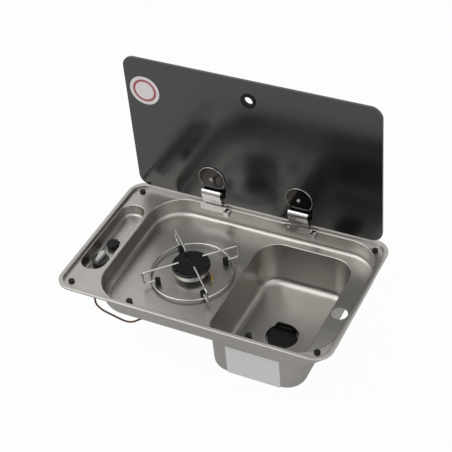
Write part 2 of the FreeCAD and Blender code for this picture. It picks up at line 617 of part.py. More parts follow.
# Lid glass with grip grommet, standing open
glass_x = GLASS_W / 2
glass = rounded(-glass_x, glass_x, 0, GLASS_H, GLASS_R, 0, GLASS_T)
glass.rotate(V(0, 0, 0), V(1, 0, 0), 90)
glass.translate(V(0, GLASS_Y + GLASS_T, GLASS_Z))
y0 = GLASS_Y
y1 = GLASS_Y + GLASS_T
glass = glass.cut(cyl_y(GRIP_HOLE_R, y0 - 1, y1 + 1, 0, GRIP_HOLE_Z))
CLAMP_R = 3.0
for s in (-1, 1):
    glass = glass.cut(cyl_y(CLAMP_R + 1.0, y0 - 1, y1 + 1, s * HINGE_X, DISC_Z))
save(glass, "lid_glass")
grommet = cyl_y(GRIP_HOLE_R - 0.1, y0 - 1, y1 + 1, 0, GRIP_HOLE_Z)
GROMMET_LIP = 3.5
GROMMET_WALL = 3.0
grommet = grommet.fuse(cyl_y(GRIP_HOLE_R + GROMMET_LIP, y0 - 1.6, y0, 0, GRIP_HOLE_Z))
grommet = grommet.fuse(cyl_y(GRIP_HOLE_R + GROMMET_LIP, y1, y1 + 1.6, 0, GRIP_HOLE_Z))
grommet = grommet.cut(cyl_y(GRIP_HOLE_R - GROMMET_WALL, y0 - 5, y1 + 5, 0, GRIP_HOLE_Z)).removeSplitter()
save(grommet, "lid_grommet")
sx, sz, sr = STICKER
save(cyl_y(sr, y0 - 0.2, y0, sx, sz), "lid_sticker")

# Hinges: bracket with cheeks and a side box on the back wall, pin, moving leaf with disc, curled cover
CHEEK_IN = LEAF_W / 2 + 1.5
CHEEK_T = 1.5
PLATE_T = 1.2
PLATE_LOW = DECK_Z - 15.0
PLATE_TOP = CLOSED_UNDERSIDE - LEAF_T - 0.7
EAR_DEEP = 9.0
EAR_TOP = DECK_Z - 2.0
STRAP_T = 1.2
COVER_DEEP = 11.2
COVER_T = 1.2
COVER_R = 5.5
COVER_TOP = RIM_H + 43.0
BACKPLATE_R = 18.0
BACKPLATE_T = 3.0
plate_y = PAN_Y - PLATE_T
cheek_pts = [(plate_y, RIVET_Z - 2), (PAN_Y - FIT, RIVET_Z - 2), (PAN_Y - FIT, DECK_Z + 0.1),
             (INNER_Y - GAP, DECK_Z + 0.1), (INNER_Y - GAP, RIM_H + 0.4), (PIN_Y + KNUCKLE_R, RIM_H + 0.4),
             (PIN_Y + KNUCKLE_R, PIN_Z + KNUCKLE_R), (PIN_Y - KNUCKLE_R, PIN_Z + KNUCKLE_R),
             (PIN_Y - KNUCKLE_R, CLOSED_UNDERSIDE - 1.0), (plate_y, CLOSED_UNDERSIDE - 1.0)]
screws = []
backs = []
rivets = []
for s, side in ((-1, "l"), (1, "r")):
    hx = s * HINGE_X
    bracket = box(hx - PLATE_W / 2, hx + PLATE_W / 2, plate_y, PAN_Y, PLATE_LOW, PLATE_TOP)
    ear_x0 = hx + CHEEK_IN
    ear_x1 = hx + PLATE_W / 2
    ear = box(ear_x0, ear_x1, plate_y - EAR_DEEP, plate_y, PLATE_LOW, EAR_TOP)
    ear = ear.cut(box(ear_x0 + PLATE_T, ear_x1 - PLATE_T, plate_y - EAR_DEEP + PLATE_T, plate_y,
                      PLATE_LOW + PLATE_T, EAR_TOP + 1))
    bracket = bracket.fuse(ear)
    for a in (-1, 1):
        c0 = hx + CHEEK_IN if a > 0 else hx - CHEEK_IN - CHEEK_T
        pts = [V(c0, py_, pz_) for py_, pz_ in cheek_pts]
        cheek = Part.Face(Part.makePolygon(pts + [pts[0]])).extrude(V(CHEEK_T, 0, 0))
        bracket = bracket.fuse(cheek)
        rx = hx + a * RIVET_OUT
        bracket = bracket.cut(cyl_y(RIVET_R + FIT, plate_y - 2, PAN_Y + 2, rx, RIVET_Z))
        rivet = cyl_y(RIVET_R, plate_y - 0.2, PAN_Y + SHEET + 0.2, rx, RIVET_Z)
        rivet = rivet.fuse(cyl_y(3.6, plate_y - 1.2, plate_y, rx, RIVET_Z))
        rivet = rivet.fuse(cyl_y(3.2, PAN_Y + SHEET, PAN_Y + SHEET + 1.2, rx, RIVET_Z))
        rivets.append(rivet.removeSplitter())
    bracket = bracket.cut(cyl_x(PIN_R + 0.02, hx - PLATE_W, hx + PLATE_W, PIN_Y, PIN_Z))
    save(bracket.removeSplitter(), "hinge_bracket_" + side)
    pin_end = CHEEK_IN + CHEEK_T + 1.0
    save(cyl_x(PIN_R, hx - pin_end, hx + pin_end, PIN_Y, PIN_Z), "hinge_pin_" + side)
    neck_y = GLASS_Y - LEAF_T
    strap_z = PIN_Z + KNUCKLE_R
    leaf = box(hx - NECK_W / 2, hx + NECK_W / 2, neck_y, GLASS_Y, strap_z - STRAP_T, DISC_Z)
    leaf = leaf.fuse(box(hx - LEAF_W / 2, hx + LEAF_W / 2, neck_y, PIN_Y, strap_z - STRAP_T, strap_z))
    leaf = leaf.fuse(cyl_x(KNUCKLE_R, hx - LEAF_W / 2, hx + LEAF_W / 2, PIN_Y, PIN_Z))
    disc_y = GLASS_Y - DISC_T
    disc = cyl_y(DISC_R, disc_y, GLASS_Y, hx, DISC_Z)
    disc = disc.makeFillet(1.5, [e for e in disc.Edges if abs(e.BoundBox.YMax - disc_y) < 1e-6])
    leaf = leaf.fuse(disc)
    leaf = leaf.cut(cyl_x(PIN_R + FIT, hx - PLATE_W, hx + PLATE_W, PIN_Y, PIN_Z))
    leaf = leaf.cut(cyl_y(CLAMP_R + 0.1, disc_y - 5, GLASS_Y + 1, hx, DISC_Z))
    save(leaf.removeSplitter(), "hinge_leaf_" + side)
    c_back = disc_y - GAP
    c_front = c_back - COVER_DEEP
    c_low = PIN_Z + PIN_Y - plate_y + 0.5
    foot_top = DISC_Z - DISC_R - 1.0
    foot_low = foot_top - 7.0
    outer = box(hx - LEAF_W / 2, hx + LEAF_W / 2, c_front, c_back, c_low, COVER_TOP)
    outer = outer.makeFillet(COVER_R, [e for e in outer.Edges if abs(e.BoundBox.ZMin - COVER_TOP) < 1e-6
                                       and e.BoundBox.XLength > LEAF_W / 2])
    inner_top = COVER_TOP - COVER_T
    inner = box(hx - LEAF_W, hx + LEAF_W, c_front + COVER_T, c_back - COVER_T, c_low - 1, inner_top)
    inner = inner.makeFillet(COVER_R - COVER_T, [e for e in inner.Edges if abs(e.BoundBox.ZMin - inner_top) < 1e-6
                                                 and e.BoundBox.XLength > LEAF_W])
    cover = outer.cut(inner)
    cover = cover.cut(box(hx - LEAF_W, hx + LEAF_W, c_back - COVER_T - 0.1, c_back + 1, c_low - 1, foot_low))
    cover = cover.fuse(box(hx - LEAF_W / 2, hx + LEAF_W / 2, c_back - COVER_T, neck_y, foot_low, foot_top))
    save(cover.removeSplitter(), "hinge_cover_" + side)
    screw = cyl_y(CLAMP_R, disc_y - 0.5, y1 + 2.0, hx, DISC_Z)
    screw = screw.fuse(cyl_y(4.0, disc_y - 2.2, disc_y, hx, DISC_Z))
    screws.append(screw.removeSplitter())
    back = cyl_y(BACKPLATE_R, y1, y1 + BACKPLATE_T, hx, DISC_Z)
    backs.append(back.cut(cyl_y(CLAMP_R + 0.1, y1 - 1, y1 + 2.1, hx, DISC_Z)))
save(Part.makeCompound(rivets), "bracket_rivets")
save(Part.makeCompound(screws), "disc_screws")
save(Part.makeCompound(backs), "disc_backplates")

# Plain label on the front of the bowl
LABEL_W = 116.0
LABEL_H = 74.0
LABEL_RIGHT = 0.5
LABEL_Z = RIM_H - 103.0
front_y = BOWL_Y0 - SHEET
label_x = BOWL_MID_X + LABEL_RIGHT
save(box(label_x - LABEL_W / 2, label_x + LABEL_W / 2, front_y - 0.2, front_y,
         LABEL_Z - LABEL_H / 2, LABEL_Z + LABEL_H / 2), "rating_label")
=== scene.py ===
import math

import bmesh
import bpy
import numpy as np
from mathutils import Matrix, Vector


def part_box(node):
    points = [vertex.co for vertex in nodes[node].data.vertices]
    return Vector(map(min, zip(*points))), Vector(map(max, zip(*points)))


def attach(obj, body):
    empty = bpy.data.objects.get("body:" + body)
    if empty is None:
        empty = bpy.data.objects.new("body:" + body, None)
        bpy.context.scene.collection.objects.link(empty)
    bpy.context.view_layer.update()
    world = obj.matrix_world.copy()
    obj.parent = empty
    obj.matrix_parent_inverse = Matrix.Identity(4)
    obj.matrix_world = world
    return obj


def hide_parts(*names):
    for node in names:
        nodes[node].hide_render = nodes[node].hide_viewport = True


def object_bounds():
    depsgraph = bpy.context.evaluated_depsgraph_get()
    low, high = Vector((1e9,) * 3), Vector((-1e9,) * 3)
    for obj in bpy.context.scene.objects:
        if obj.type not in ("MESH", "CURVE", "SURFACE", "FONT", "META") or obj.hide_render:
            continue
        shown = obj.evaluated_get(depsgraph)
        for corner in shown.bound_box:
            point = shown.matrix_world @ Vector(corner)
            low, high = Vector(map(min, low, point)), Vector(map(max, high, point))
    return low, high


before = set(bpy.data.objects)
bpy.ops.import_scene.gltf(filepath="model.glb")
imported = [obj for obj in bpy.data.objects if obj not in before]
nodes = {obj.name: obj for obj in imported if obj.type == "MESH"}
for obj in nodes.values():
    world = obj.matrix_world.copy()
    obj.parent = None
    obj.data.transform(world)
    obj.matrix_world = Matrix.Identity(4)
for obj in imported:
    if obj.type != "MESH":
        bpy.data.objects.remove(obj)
cad_box = [[float(v) for v in corner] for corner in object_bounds()]

# The tray: rim, hob pan and control recess are deep-drawn in stainless sheet, and the bowl is drawn
# apart and welded below. The sheet leaves the mill with a satin grain brushed along its length;
# pressing and cleaning leave it slightly cloudy.
STEEL_CLOUD = (0.405, 0.388, 0.365)
STEEL_COLOUR = (0.46, 0.443, 0.42)
GRAIN_STRETCH = (0.02, 1.0, 1.0)
GRAIN_DETAIL = 4.0
GRAIN_SPREAD = (0.3, 0.7)
GRAIN_HEIGHT = 0.0001
CLOUD_DETAIL = 5.0
CLOUD_BREAK = 0.6
CLOUD_SPREAD = (0.35, 0.68)
# Where a Mix node that mixes colours takes them in and puts the result out.
MIX_FIRST, MIX_SECOND, MIX_RESULT = 6, 7, 2


def shade(tree, kind, *inputs, operation=None, data_type=None, node_tree=None, **named):
    """New shader node with its settings and inputs. Inputs come in order, or by name with underscores
    for spaces; a socket is joined to its input, and a plain value is set on it."""
    node = tree.nodes.new("ShaderNode" + kind)
    for label, value in (("operation", operation), ("data_type", data_type), ("node_tree", node_tree)):
        if value is not None:
            setattr(node, label, value)
    wanted = dict(enumerate(inputs))
    wanted.update((label.replace("_", " "), value) for label, value in named.items())
    for label, value in wanted.items():
        if isinstance(value, bpy.types.NodeSocket):
            tree.links.new(value, node.inputs[label])
        else:
            node.inputs[label].default_value = value
    return node


def start_group(name, outputs, **floats):
    """Empty shader group that takes a vector and named floats, each with its usual value, and puts out
    named floats. Returns its tree, the sockets it is given and the sockets it puts out."""
    tree = bpy.data.node_groups.new(name, "ShaderNodeTree")
    tree.interface.new_socket(name="Vector", in_out="INPUT", socket_type="NodeSocketVector")
    for label, usual in floats.items():
        socket = tree.interface.new_socket(name=label.replace("_", " "), in_out="INPUT",
                                           socket_type="NodeSocketFloat")
        socket.default_value = usual
    for label in outputs:
        tree.interface.new_socket(name=label, in_out="OUTPUT", socket_type="NodeSocketFloat")
    return tree, tree.nodes.new("NodeGroupInput").outputs, tree.nodes.new("NodeGroupOutput").inputs


def brushed_grain_group():
    """Fine parallel scratches: noise stretched along X, read as a roughness between two limits and as
    a streak height."""
    tree, given, result = start_group("brushed_grain", ("Roughness", "Streak"),
                                      Fineness=1400.0, Rough_Low=0.25, Rough_High=0.42)
    stretch = shade(tree, "VectorMath", given["Vector"], GRAIN_STRETCH, operation="MULTIPLY")
    noise = shade(tree, "TexNoise", Vector=stretch.outputs[0], Scale=given["Fineness"],
                  Detail=GRAIN_DETAIL)
    span = shade(tree, "MapRange", Value=noise.outputs["Fac"], From_Min=GRAIN_SPREAD[0],
                 From_Max=GRAIN_SPREAD[1], To_Min=given["Rough Low"], To_Max=given["Rough High"])
    tree.links.new(span.outputs[0], result["Roughness"])
    tree.links.new(noise.outputs["Fac"], result["Streak"])
    return tree


def handling_clouds_group():
    """Soft handling marks: large noise shaped into a mask between nought and one."""
    tree, given, result = start_group("handling_clouds", ("Mask",), Scale=9.0)
    noise = shade(tree, "TexNoise", Vector=given["Vector"], Scale=given["Scale"],
                  Detail=CLOUD_DETAIL, Roughness=CLOUD_BREAK)
    span = shade(tree, "MapRange", Value=noise.outputs["Fac"], From_Min=CLOUD_SPREAD[0],
                 From_Max=CLOUD_SPREAD[1])
    tree.links.new(span.outputs[0], result["Mask"])
    return tree


brushed_grain = brushed_grain_group()
handling_clouds = handling_clouds_group()


def blank_material(name):
    """Material with a Principled shader; returns it with its tree, shader and Object coordinates."""
    material = bpy.data.materials.new(name)
    material.use_nodes = True
    tree = material.node_tree
    where = shade(tree, "TexCoord").outputs["Object"]
    return material, tree, tree.nodes["Principled BSDF"], where


def clouds(tree, where, **scale):
    """Mask of the shared handling marks, at their usual scale unless another is given."""
    return shade(tree, "Group", node_tree=handling_clouds, Vector=where, **scale).outputs["Mask"]


def two_tone(tree, shader, mask, dark, light):
    """Base colour between two tones by a mask."""
    mix = shade(tree, "Mix", mask, data_type="RGBA")
    mix.inputs[MIX_FIRST].default_value = (*dark, 1.0)
    mix.inputs[MIX_SECOND].default_value = (*light, 1.0)
    tree.links.new(mix.outputs[MIX_RESULT], shader.inputs["Base Color"])


def bump(tree, shader, height, strength, distance):
    """Fine relief from a height."""
    relief = shade(tree, "Bump", Strength=strength, Distance=distance, Height=height)
    tree.links.new(relief.outputs[0], shader.inputs["Normal"])


def brushed_metal(name, dark, light, rough, fineness=1400.0, strength=0.12):
    """Metal with streaked roughness, cloudy tint and a very fine grain bump."""
    material, tree, shader, where = blank_material(name)
    grain = shade(tree, "Group", node_tree=brushed_grain, Vector=where, Fineness=fineness,
                  Rough_Low=rough[0], Rough_High=rough[1])
    two_tone(tree, shader, clouds(tree, where), dark, light)
    tree.links.new(grain.outputs["Roughness"], shader.inputs["Roughness"])
    shader.inputs["Metallic"].default_value = 1.0
    bump(tree, shader, grain.outputs["Streak"], strength, GRAIN_HEIGHT)
    return material


def dress(material, *names):
    """Gives CAD nodes one finished material."""
    for name in names:
        mesh = nodes[name].data
        mesh.materials.clear()
        mesh.materials.append(material)


satin_steel = brushed_metal("satin_steel", STEEL_CLOUD, STEEL_COLOUR, rough=(0.27, 0.38), strength=0.06)
dress(satin_steel, "deck_pressing", "hob_pan", "sink_bowl", "waste_flange")

# The rim seal and the buffers: black nitrile rubber, moulded, with a faint dusty bloom.
# The seal lies in the hollow of the rim; the buffers are pressed into the tray for the lid to rest on.
RUBBER_DARK = (0.004, 0.004, 0.004)
RUBBER_BLOOM = (0.008, 0.008, 0.008)
BLOOM_SCALE = 60.0
PEBBLE_HEIGHT = 0.0002


def cloudy_gloss(tree, shader, mask, rough):
    """Roughness between two limits by a mask."""
    span = shade(tree, "MapRange", Value=mask, To_Min=rough[0], To_Max=rough[1])
    tree.links.new(span.outputs[0], shader.inputs["Roughness"])


def moulded(name, dark, light, rough, pebble, strength, **plain):
    """Moulded rubber or plastic: bloom tint, cloudy roughness and a fine pebbled bump. Plain values go
    on the shader's own sockets."""
    material, tree, shader, where = blank_material(name)
    mask = clouds(tree, where, Scale=BLOOM_SCALE)
    two_tone(tree, shader, mask, dark, light)
    cloudy_gloss(tree, shader, mask, rough)
    grain = shade(tree, "TexNoise", Vector=where, Scale=pebble)
    bump(tree, shader, grain.outputs["Fac"], strength, PEBBLE_HEIGHT)
    for label, value in plain.items():
        shader.inputs[label.replace("_", " ")].default_value = value
    return material


black_rubber = moulded("black_rubber", RUBBER_DARK, RUBBER_BLOOM, rough=(0.45, 0.65), pebble=900.0,
                       strength=0.15, Specular_IOR_Level=0.25)
dress(black_rubber, "rim_seal", "lid_bumpers", "pan_support_feet", "lid_grommet", "waste_seal", "sink_plug")

# The burner: a cast cup below the pan, a base ring on it, a polished aluminium flame ring
# and a cap of pressed steel in gloss black enamel. The base ring wears the cap's gloss black as painted
# shade below the flame ring. Three screws hold ring, base and cup through the pan.
CAST_DARK = (0.36, 0.36, 0.36)
CAST_LIGHT = (0.48, 0.48, 0.47)
POLISHED_DARK = (0.46, 0.45, 0.44)
POLISHED_LIGHT = (0.56, 0.55, 0.54)
ENAMEL_DARK = (0.004, 0.004, 0.004)
ENAMEL_LIGHT = (0.009, 0.009, 0.010)
cast_aluminium = brushed_metal("cast_aluminium", CAST_DARK, CAST_LIGHT, rough=(0.45, 0.6),
                               fineness=300.0, strength=0.3)
polished_aluminium = brushed_metal("polished_aluminium", POLISHED_DARK, POLISHED_LIGHT, rough=(0.12, 0.24))
black_enamel = moulded("black_enamel", ENAMEL_DARK, ENAMEL_LIGHT, rough=(0.08, 0.16), pebble=220.0,
                       strength=0.04, Specular_IOR_Level=0.35)
dress(cast_aluminium, "burner_cup")
dress(polished_aluminium, "burner_head")
# On the base ring this gloss black is painted shade below the flame ring; on the cap it is the cap's own
# enamel.
dress(black_enamel, "burner_cap", "burner_base")

# Flame probe, spark pin and small plated steel parts. The probe is a brass sleeve; the spark pin
# runs in a white glazed ceramic tube; screws, tap nut and spindle are zinc plated.
BRASS_DARK = (0.42, 0.28, 0.10)
BRASS_LIGHT = (0.62, 0.45, 0.19)
ZINC_DARK = (0.42, 0.42, 0.42)
ZINC_LIGHT = (0.56, 0.56, 0.55)
CERAMIC_DARK = (0.74, 0.72, 0.67)
CERAMIC_LIGHT = (0.83, 0.82, 0.78)
brass = brushed_metal("brass", BRASS_DARK, BRASS_LIGHT, rough=(0.22, 0.36))
zinc_steel = brushed_metal("zinc_steel", ZINC_DARK, ZINC_LIGHT, rough=(0.25, 0.4))
white_ceramic = moulded("white_ceramic", CERAMIC_DARK, CERAMIC_LIGHT, rough=(0.12, 0.25), pebble=400.0,
                        strength=0.05)
dress(brass, "thermocouple_probe", "gas_injector", "gas_tap_body")
dress(zinc_steel, "burner_screws", "spark_pin", "tap_nut", "tap_spindle", "hinge_pin_l", "hinge_pin_r")
dress(white_ceramic, "spark_insulator")

# The pan support: drawn steel wire bent into four fingers, welded to a ring and bright plated.
# It stands in the pan on four rubber feet.
WIRE_DARK = (0.46, 0.45, 0.435)
WIRE_LIGHT = (0.58, 0.57, 0.55)
bright_wire = brushed_metal("bright_wire", WIRE_DARK, WIRE_LIGHT, rough=(0.10, 0.22), fineness=900.0,
                            strength=0.06)
dress(bright_wire, "pan_support")

# The gas pipes and the probe lead: drawn copper run below the tray. The pipes are still bright;
# the thin lead is browned and dulled all along by handling.
COPPER_DARK = (0.30, 0.12, 0.05)
COPPER_LIGHT = (0.55, 0.26, 0.12)
BROWNED_DARK = (0.13, 0.075, 0.055)
BROWNED_LIGHT = (0.24, 0.145, 0.105)
copper = brushed_metal("copper", COPPER_DARK, COPPER_LIGHT, rough=(0.28, 0.45), fineness=500.0,
                       strength=0.1)
browned_copper = brushed_metal("browned_copper", BROWNED_DARK, BROWNED_LIGHT, rough=(0.4, 0.55),
                               fineness=500.0, strength=0.1)
dress(copper, "gas_feed_pipe", "gas_inlet_pipe")
dress(browned_copper, "thermocouple_lead")

# The controls: a black moulded knob with a satin silver pointer, and a scalloped black rubber button
# for the spark on a short stem. A small raised dot marks the pointer's narrow end.
PLASTIC_DARK = (0.008, 0.008, 0.009)
PLASTIC_LIGHT = (0.016, 0.016, 0.017)
SILVER_DARK = (0.50, 0.49, 0.475)
SILVER_LIGHT = (0.60, 0.59, 0.575)
black_plastic = moulded("black_plastic", PLASTIC_DARK, PLASTIC_LIGHT, rough=(0.25, 0.4), pebble=1100.0,
                        strength=0.12)
silver_plastic = moulded("silver_plastic", SILVER_DARK, SILVER_LIGHT, rough=(0.3, 0.42), pebble=1300.0,
                         strength=0.08, Metallic=0.3)
dress(black_plastic, "control_knob", "igniter_button", "igniter_body", "igniter_nut")
dress(silver_plastic, "knob_pointer")
WELD = 1e-6
DOME_SIDES = 32
DOME_RINGS = 9
DOT_R = 0.0014
DOT_H = 0.0004
DOT_IN = 0.004
DOT_SUNK = 0.00005


def wrapped_piece(name, points, material):
    """Piece from a (rows, columns, 3) array of points. The columns join up round the piece, and points
    that fall together, as at a pole or along a folded end, are welded."""
    rows, cols = points.shape[:2]
    i, j = np.meshgrid(np.arange(rows - 1), np.arange(cols), indexing="ij")
    k = (j + 1) % cols
    quads = np.stack([i * cols + j, i * cols + k, (i + 1) * cols + k, (i + 1) * cols + j], -1).reshape(-1, 4)
    mesh = bpy.data.meshes.new(name)
    mesh.from_pydata(points.reshape(-1, 3).tolist(), [], quads.tolist())
    mesh.polygons.foreach_set("use_smooth", np.ones(len(quads), dtype=bool))
    weld = bmesh.new()
    weld.from_mesh(mesh)
    bmesh.ops.remove_doubles(weld, verts=weld.verts, dist=WELD)
    weld.to_mesh(mesh)
    weld.free()
    mesh.update()
    mesh.materials.append(material)
    piece = bpy.data.objects.new(name, mesh)
    bpy.context.scene.collection.objects.link(piece)
    return piece


def dome(name, centre, axis, across, radius, height, material, body):
    """Low dome: rings at radius times cos(a) and height times sin(a), closed below by a flat disc."""
    t = np.linspace(0, 2 * math.pi, DOME_SIDES, endpoint=False)
    a = np.concatenate([[0.0], np.linspace(0, math.pi / 2, DOME_RINGS)])
    r = radius * np.cos(a)
    r[0] = 0.0
    h = height * np.sin(a)
    axis, across = np.array(axis, float), np.array(across, float)
    side = np.cross(axis, across)
    ring = np.cos(t)[None, :, None] * across + np.sin(t)[None, :, None] * side
    points = np.array(centre) + r[:, None, None] * ring + h[:, None, None] * axis
    piece = wrapped_piece(name, points, material)
    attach(piece, body)


p_low, p_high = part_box("knob_pointer")
dome("pointer_dot", ((p_low.x + p_high.x) / 2, p_low.y + DOT_IN, p_high.z - DOT_SUNK), (0, 0, 1), (1, 0, 0),
     DOT_R, DOT_H, black_plastic, "knob")

LOBES = 9
LOBE_DEEP = 0.17
LOBE_SIDES = 144
BUTTON_STEM = 0.27
BUTTON_HIGH = 0.006
# Rings of the button's head: share of the radius, depth below the top, share of the lobes' depth.
BUTTON_RINGS = ((0.96, BUTTON_HIGH, 1), (1.0, 0.0056, 1), (1.0, 0.0018, 1), (0.97, 0.0006, 1), (0.90, 0, 0.9),
                (0.78, 0.0004, 0.6), (0.5, 0.0010, 0.15), (0.25, 0.0012, 0), (0, 0.0012, 0))


def lobed_button(name, node):
    """Push button: rings at a share of the radius and a height, from the stem's foot up over the dished
    top. Each ring's radius is cut by a cosine of LOBES waves, at full depth on the rim and none at the
    stem."""
    low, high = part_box(node)
    t = np.linspace(0, 2 * math.pi, LOBE_SIDES, endpoint=False)
    tall = high.z - low.z
    stem = ((0, tall, 0), (BUTTON_STEM, tall, 0), (BUTTON_STEM, BUTTON_HIGH, 0))
    share, drop, lobe = np.array(stem + BUTTON_RINGS).T
    cut = LOBE_DEEP * lobe[:, None] * (0.5 - 0.5 * np.cos(LOBES * t))
    reach = (high.x - low.x) / 2 * share[:, None] * (1 - cut)
    points = np.stack([(low.x + high.x) / 2 + reach * np.cos(t), (low.y + high.y) / 2 + reach * np.sin(t),
                       np.broadcast_to(high.z - drop[:, None], reach.shape)], -1)
    piece = wrapped_piece(name, points, black_rubber)
    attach(piece, "button")
    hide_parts(node)


lobed_button("button_lobes", "igniter_button")

# The waste: a grey moulded body screwed up against the bowl, with the rubber ring between.
# The steel dish inside the bowl clamps it from above, and the plug sits in the dish.
WASTE_DARK = (0.10, 0.10, 0.105)
WASTE_LIGHT = (0.16, 0.16, 0.165)
grey_plastic = moulded("grey_plastic", WASTE_DARK, WASTE_LIGHT, rough=(0.4, 0.55), pebble=700.0,
                       strength=0.1)
dress(grey_plastic, "waste_body")

# The lid: a sheet of toughened smoked glass, near black, with polished edges. It mirrors the
# tray softly, so the surface is left almost clean with a faint film of handling.
GLASS_DARK = (0.002, 0.002, 0.002)
GLASS_FILM = (0.004, 0.004, 0.004)
GLASS_ROUGH = (0.14, 0.19)
GLASS_IOR = 1.9
GLASS_CLOUDS = 7.0
smoked_glass, tree, shader, where = blank_material("smoked_glass")
film = clouds(tree, where, Scale=GLASS_CLOUDS)
two_tone(tree, shader, film, GLASS_DARK, GLASS_FILM)
cloudy_gloss(tree, shader, film, GLASS_ROUGH)
shader.inputs["IOR"].default_value = GLASS_IOR
dress(smoked_glass, "lid_glass")

# The lid's round film: a disc of white vinyl with a muted red ring near its edge.
# It is stuck on the inner face of the glass, near the free left corner.
FILM_WHITE = (0.84, 0.80, 0.80)
FILM_RED = (0.42, 0.11, 0.13)
FILM_ROUGH = (0.35, 0.5)
FILM_CLOUDS = 120.0
RING_IN = 0.63
RING_OUT = 0.79
s_low, s_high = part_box("lid_sticker")
s_mid = (s_low + s_high) / 2
s_radius = (s_high.x - s_low.x) / 2
ring_film, tree, shader, where = blank_material("ring_film")
place = shade(tree, "Mapping", Vector=where, Location=(-s_mid.x / s_radius, 0, -s_mid.z / s_radius),
              Scale=(1 / s_radius, 0, 1 / s_radius))
away = shade(tree, "VectorMath", place.outputs[0], operation="LENGTH").outputs["Value"]
inside = shade(tree, "Math", away, RING_IN, operation="GREATER_THAN")
outside = shade(tree, "Math", away, RING_OUT, operation="LESS_THAN")
band = shade(tree, "Math", inside.outputs[0], outside.outputs[0], operation="MULTIPLY")
two_tone(tree, shader, band.outputs[0], FILM_WHITE, FILM_RED)
cloudy_gloss(tree, shader, clouds(tree, where, Scale=FILM_CLOUDS), FILM_ROUGH)
dress(ring_film, "lid_sticker")

# The hinges: plated steel. A bright bracket is riveted to the back wall, a pin carries the black chrome
# leaf, and its round disc is clamped to the glass by a domed screw; a bright rolled cover hides the spring.
CHROME_DARK = (0.58, 0.58, 0.58)
CHROME_LIGHT = (0.68, 0.68, 0.675)
SMOKE_DARK = (0.055, 0.052, 0.050)
SMOKE_LIGHT = (0.080, 0.076, 0.073)
chrome = brushed_metal("chrome", CHROME_DARK, CHROME_LIGHT, rough=(0.14, 0.22), fineness=700.0,
                       strength=0.03)
dark_chrome = brushed_metal("dark_chrome", SMOKE_DARK, SMOKE_LIGHT, rough=(0.05, 0.12), fineness=700.0,
                            strength=0.03)
dress(chrome, "hinge_bracket_l", "hinge_bracket_r", "hinge_cover_l", "hinge_cover_r", "bracket_rivets",
      "disc_screws", "disc_backplates")
dress(dark_chrome, "hinge_leaf_l", "hinge_leaf_r")
EDGE_BEAD = 0.0006
EDGE_FROM = 0.050
EDGE_IN = 0.0003
NECK_HALF = 0.0215
NECK_BACK = 0.0015
NECK_STEPS = 5
TURN_STEPS = 97
BEAD_SIDES = 12


def headings(path):
    """Unit direction along a path, from the differences of its points."""
    along = np.gradient(path, axis=0)
    return along / np.linalg.norm(along, axis=1, keepdims=True)


def painted_edge_highlight(name, node):
    """Painted highlight round the leaf's free edge: a thin bright chrome bead, a circle of EDGE_BEAD swept
    along a path that climbs one side of the neck, follows the disc's circle over the top and comes down the
    other side."""
    low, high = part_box(node)
    mid_x = (low.x + high.x) / 2
    disc_r = (high.x - low.x) / 2
    disc_z = high.z - disc_r
    face = low.y + EDGE_BEAD
    start = math.asin(NECK_HALF / disc_r)
    climb = np.linspace(EDGE_FROM, disc_z - disc_r * math.cos(start), NECK_STEPS, endpoint=False)
    turn = np.linspace(start - math.pi / 2, 1.5 * math.pi - start, TURN_STEPS)
    back = np.full(NECK_STEPS, face + NECK_BACK)
    right = np.stack([np.full(NECK_STEPS, mid_x + NECK_HALF), back, climb], -1)
    over = np.stack([mid_x + (disc_r - EDGE_IN) * np.cos(turn), np.full(TURN_STEPS, face),
                     disc_z + (disc_r - EDGE_IN) * np.sin(turn)], -1)
    left = np.stack([np.full(NECK_STEPS, mid_x - NECK_HALF), back, climb[::-1]], -1)
    path = np.concatenate([right, over, left])
    along = headings(path)
    out = np.cross(along, np.array([0.0, 1.0, 0.0]))
    out /= np.linalg.norm(out, axis=1, keepdims=True)
    front = np.cross(out, along)
    t = np.linspace(0, 2 * math.pi, BEAD_SIDES, endpoint=False)
    size = np.full(len(path), EDGE_BEAD)
    size[[0, -1]] = 0.0
    circle = np.cos(t)[None, :, None] * out[:, None] - np.sin(t)[None, :, None] * front[:, None]
    piece = wrapped_piece(name, path[:, None] + size[:, None, None] * circle, chrome)
    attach(piece, "lid")


# Painted highlight: a bright chrome bead round each dark leaf's rounded edge stands in for the light mirrored
# there.
painted_edge_highlight("leaf_highlight_l", "hinge_leaf_l")
painted_edge_highlight("leaf_highlight_r", "hinge_leaf_r")
STRIP_T = 0.0012
STRIP_TUCK = 0.0030
STRIP_ROLL = 0.0092
STRIP_PLAIN = 0.4
STRIP_BACK = 0.0017
STRIP_DEEP = 0.0112
STRIP_STEP = 0.0002
STRIP_END = 0.0001
RISE_STEPS = 33
ROLL_STEPS = 24
HEEL_STEPS = 7


